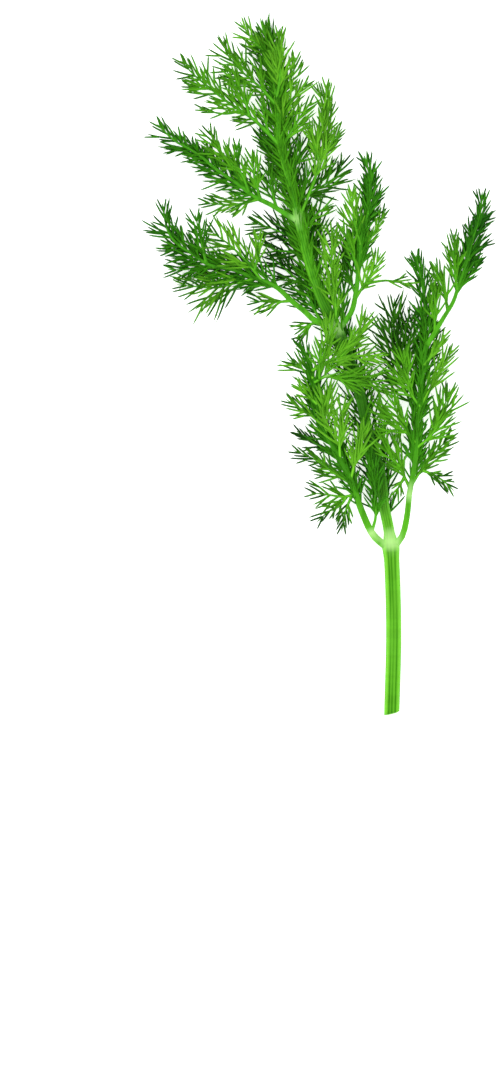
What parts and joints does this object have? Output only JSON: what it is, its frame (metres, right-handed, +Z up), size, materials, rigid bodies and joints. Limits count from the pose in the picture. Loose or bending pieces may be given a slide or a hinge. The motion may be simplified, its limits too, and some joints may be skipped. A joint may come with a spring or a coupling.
{
  "type": "dill sprig",
  "caption": "Cut sprig of fresh dill lying flat: a slender green stalk that forks into feathery fronds of fine soft needles.",
  "frame": {"origin": "On the surface that the sprig lies on, under the middle of its outline.", "axes": "+Y runs from the cut end of the stalk towards the tip, +X is to the right seen from above, and +Z is up from the surface."},
  "size_m": [0.103, 0.2104, 0.0159],
  "materials": {
    "stem": "fresh green stalk skin, finely ribbed, satin",
    "frond_rib": "fresh green rib skin, satin",
    "leaf_bright": "fresh bright green leaf, satin",
    "leaf_middle": "mid green leaf, satin",
    "leaf_deep": "deep green leaf in the inner layers, satin"
  },
  "bodies": {
    "root": {"stem": "stem", "lower_left_rib": "frond_rib", "lower_left_leaflet_1": "leaf_middle", "lower_left_leaflet_2": "leaf_middle", "lower_left_leaflet_3": "leaf_deep", "lower_left_leaflet_4": "leaf_bright", "lower_left_leaflet_5": "leaf_bright", "lower_left_leaflet_6": "leaf_bright", "lower_left_leaflet_7": "leaf_bright", "lower_left_leaflet_8": "leaf_bright", "lower_left_leaflet_9": "leaf_bright", "lower_left_leaflet_10": "leaf_middle", "lower_left_leaflet_11": "leaf_bright", "lower_right_rib": "frond_rib", "lower_right_leaflet_1": "leaf_middle", "lower_right_leaflet_2": "leaf_middle", "lower_right_leaflet_3": "leaf_bright", "lower_right_leaflet_4": "leaf_bright", "lower_right_leaflet_5": "leaf_middle", "lower_right_leaflet_6": "leaf_middle", "lower_right_leaflet_7": "leaf_middle", "lower_right_leaflet_8": "leaf_deep", "right_prong_rib": "frond_rib", "right_prong_leaflet_1": "leaf_middle", "right_prong_leaflet_2": "leaf_middle", "right_prong_leaflet_3": "leaf_middle", "middle_left_rib": "frond_rib", "middle_left_leaflet_1": "leaf_middle", "middle_left_leaflet_2": "leaf_bright", "middle_left_leaflet_3": "leaf_bright", "middle_left_leaflet_4": "leaf_bright", "back_leaflet_1": "leaf_deep", "back_leaflet_2": "leaf_deep", "back_leaflet_3": "leaf_deep", "middle_right_rib": "frond_rib", "middle_right_leaflet_1": "leaf_bright", "middle_right_leaflet_2": "leaf_bright", "middle_right_leaflet_3": "leaf_bright", "middle_right_leaflet_4": "leaf_middle", "middle_right_leaflet_5": "leaf_deep", "front_leaflet": "leaf_bright", "upper_left_rib": "frond_rib", "upper_left_leaflet_1": "leaf_bright", "upper_left_leaflet_2": "leaf_middle", "upper_left_leaflet_3": "leaf_middle", "upper_left_leaflet_4": "leaf_deep", "upper_right_rib": "leaf_bright", "upper_right_leaflet_1": "leaf_deep", "upper_right_leaflet_2": "leaf_middle", "upper_right_leaflet_3": "leaf_deep", "top_left_rib": "leaf_middle", "top_left_leaflet_1": "leaf_middle", "top_left_leaflet_2": "leaf_middle", "top_left_leaflet_3": "leaf_bright", "top_left_leaflet_4": "leaf_deep", "top_right_leaflet_1": "leaf_middle", "top_right_leaflet_2": "leaf_bright", "top_right_leaflet_3": "leaf_middle", "top_leaflet": "leaf_bright"}
  },
  "joints": []
}
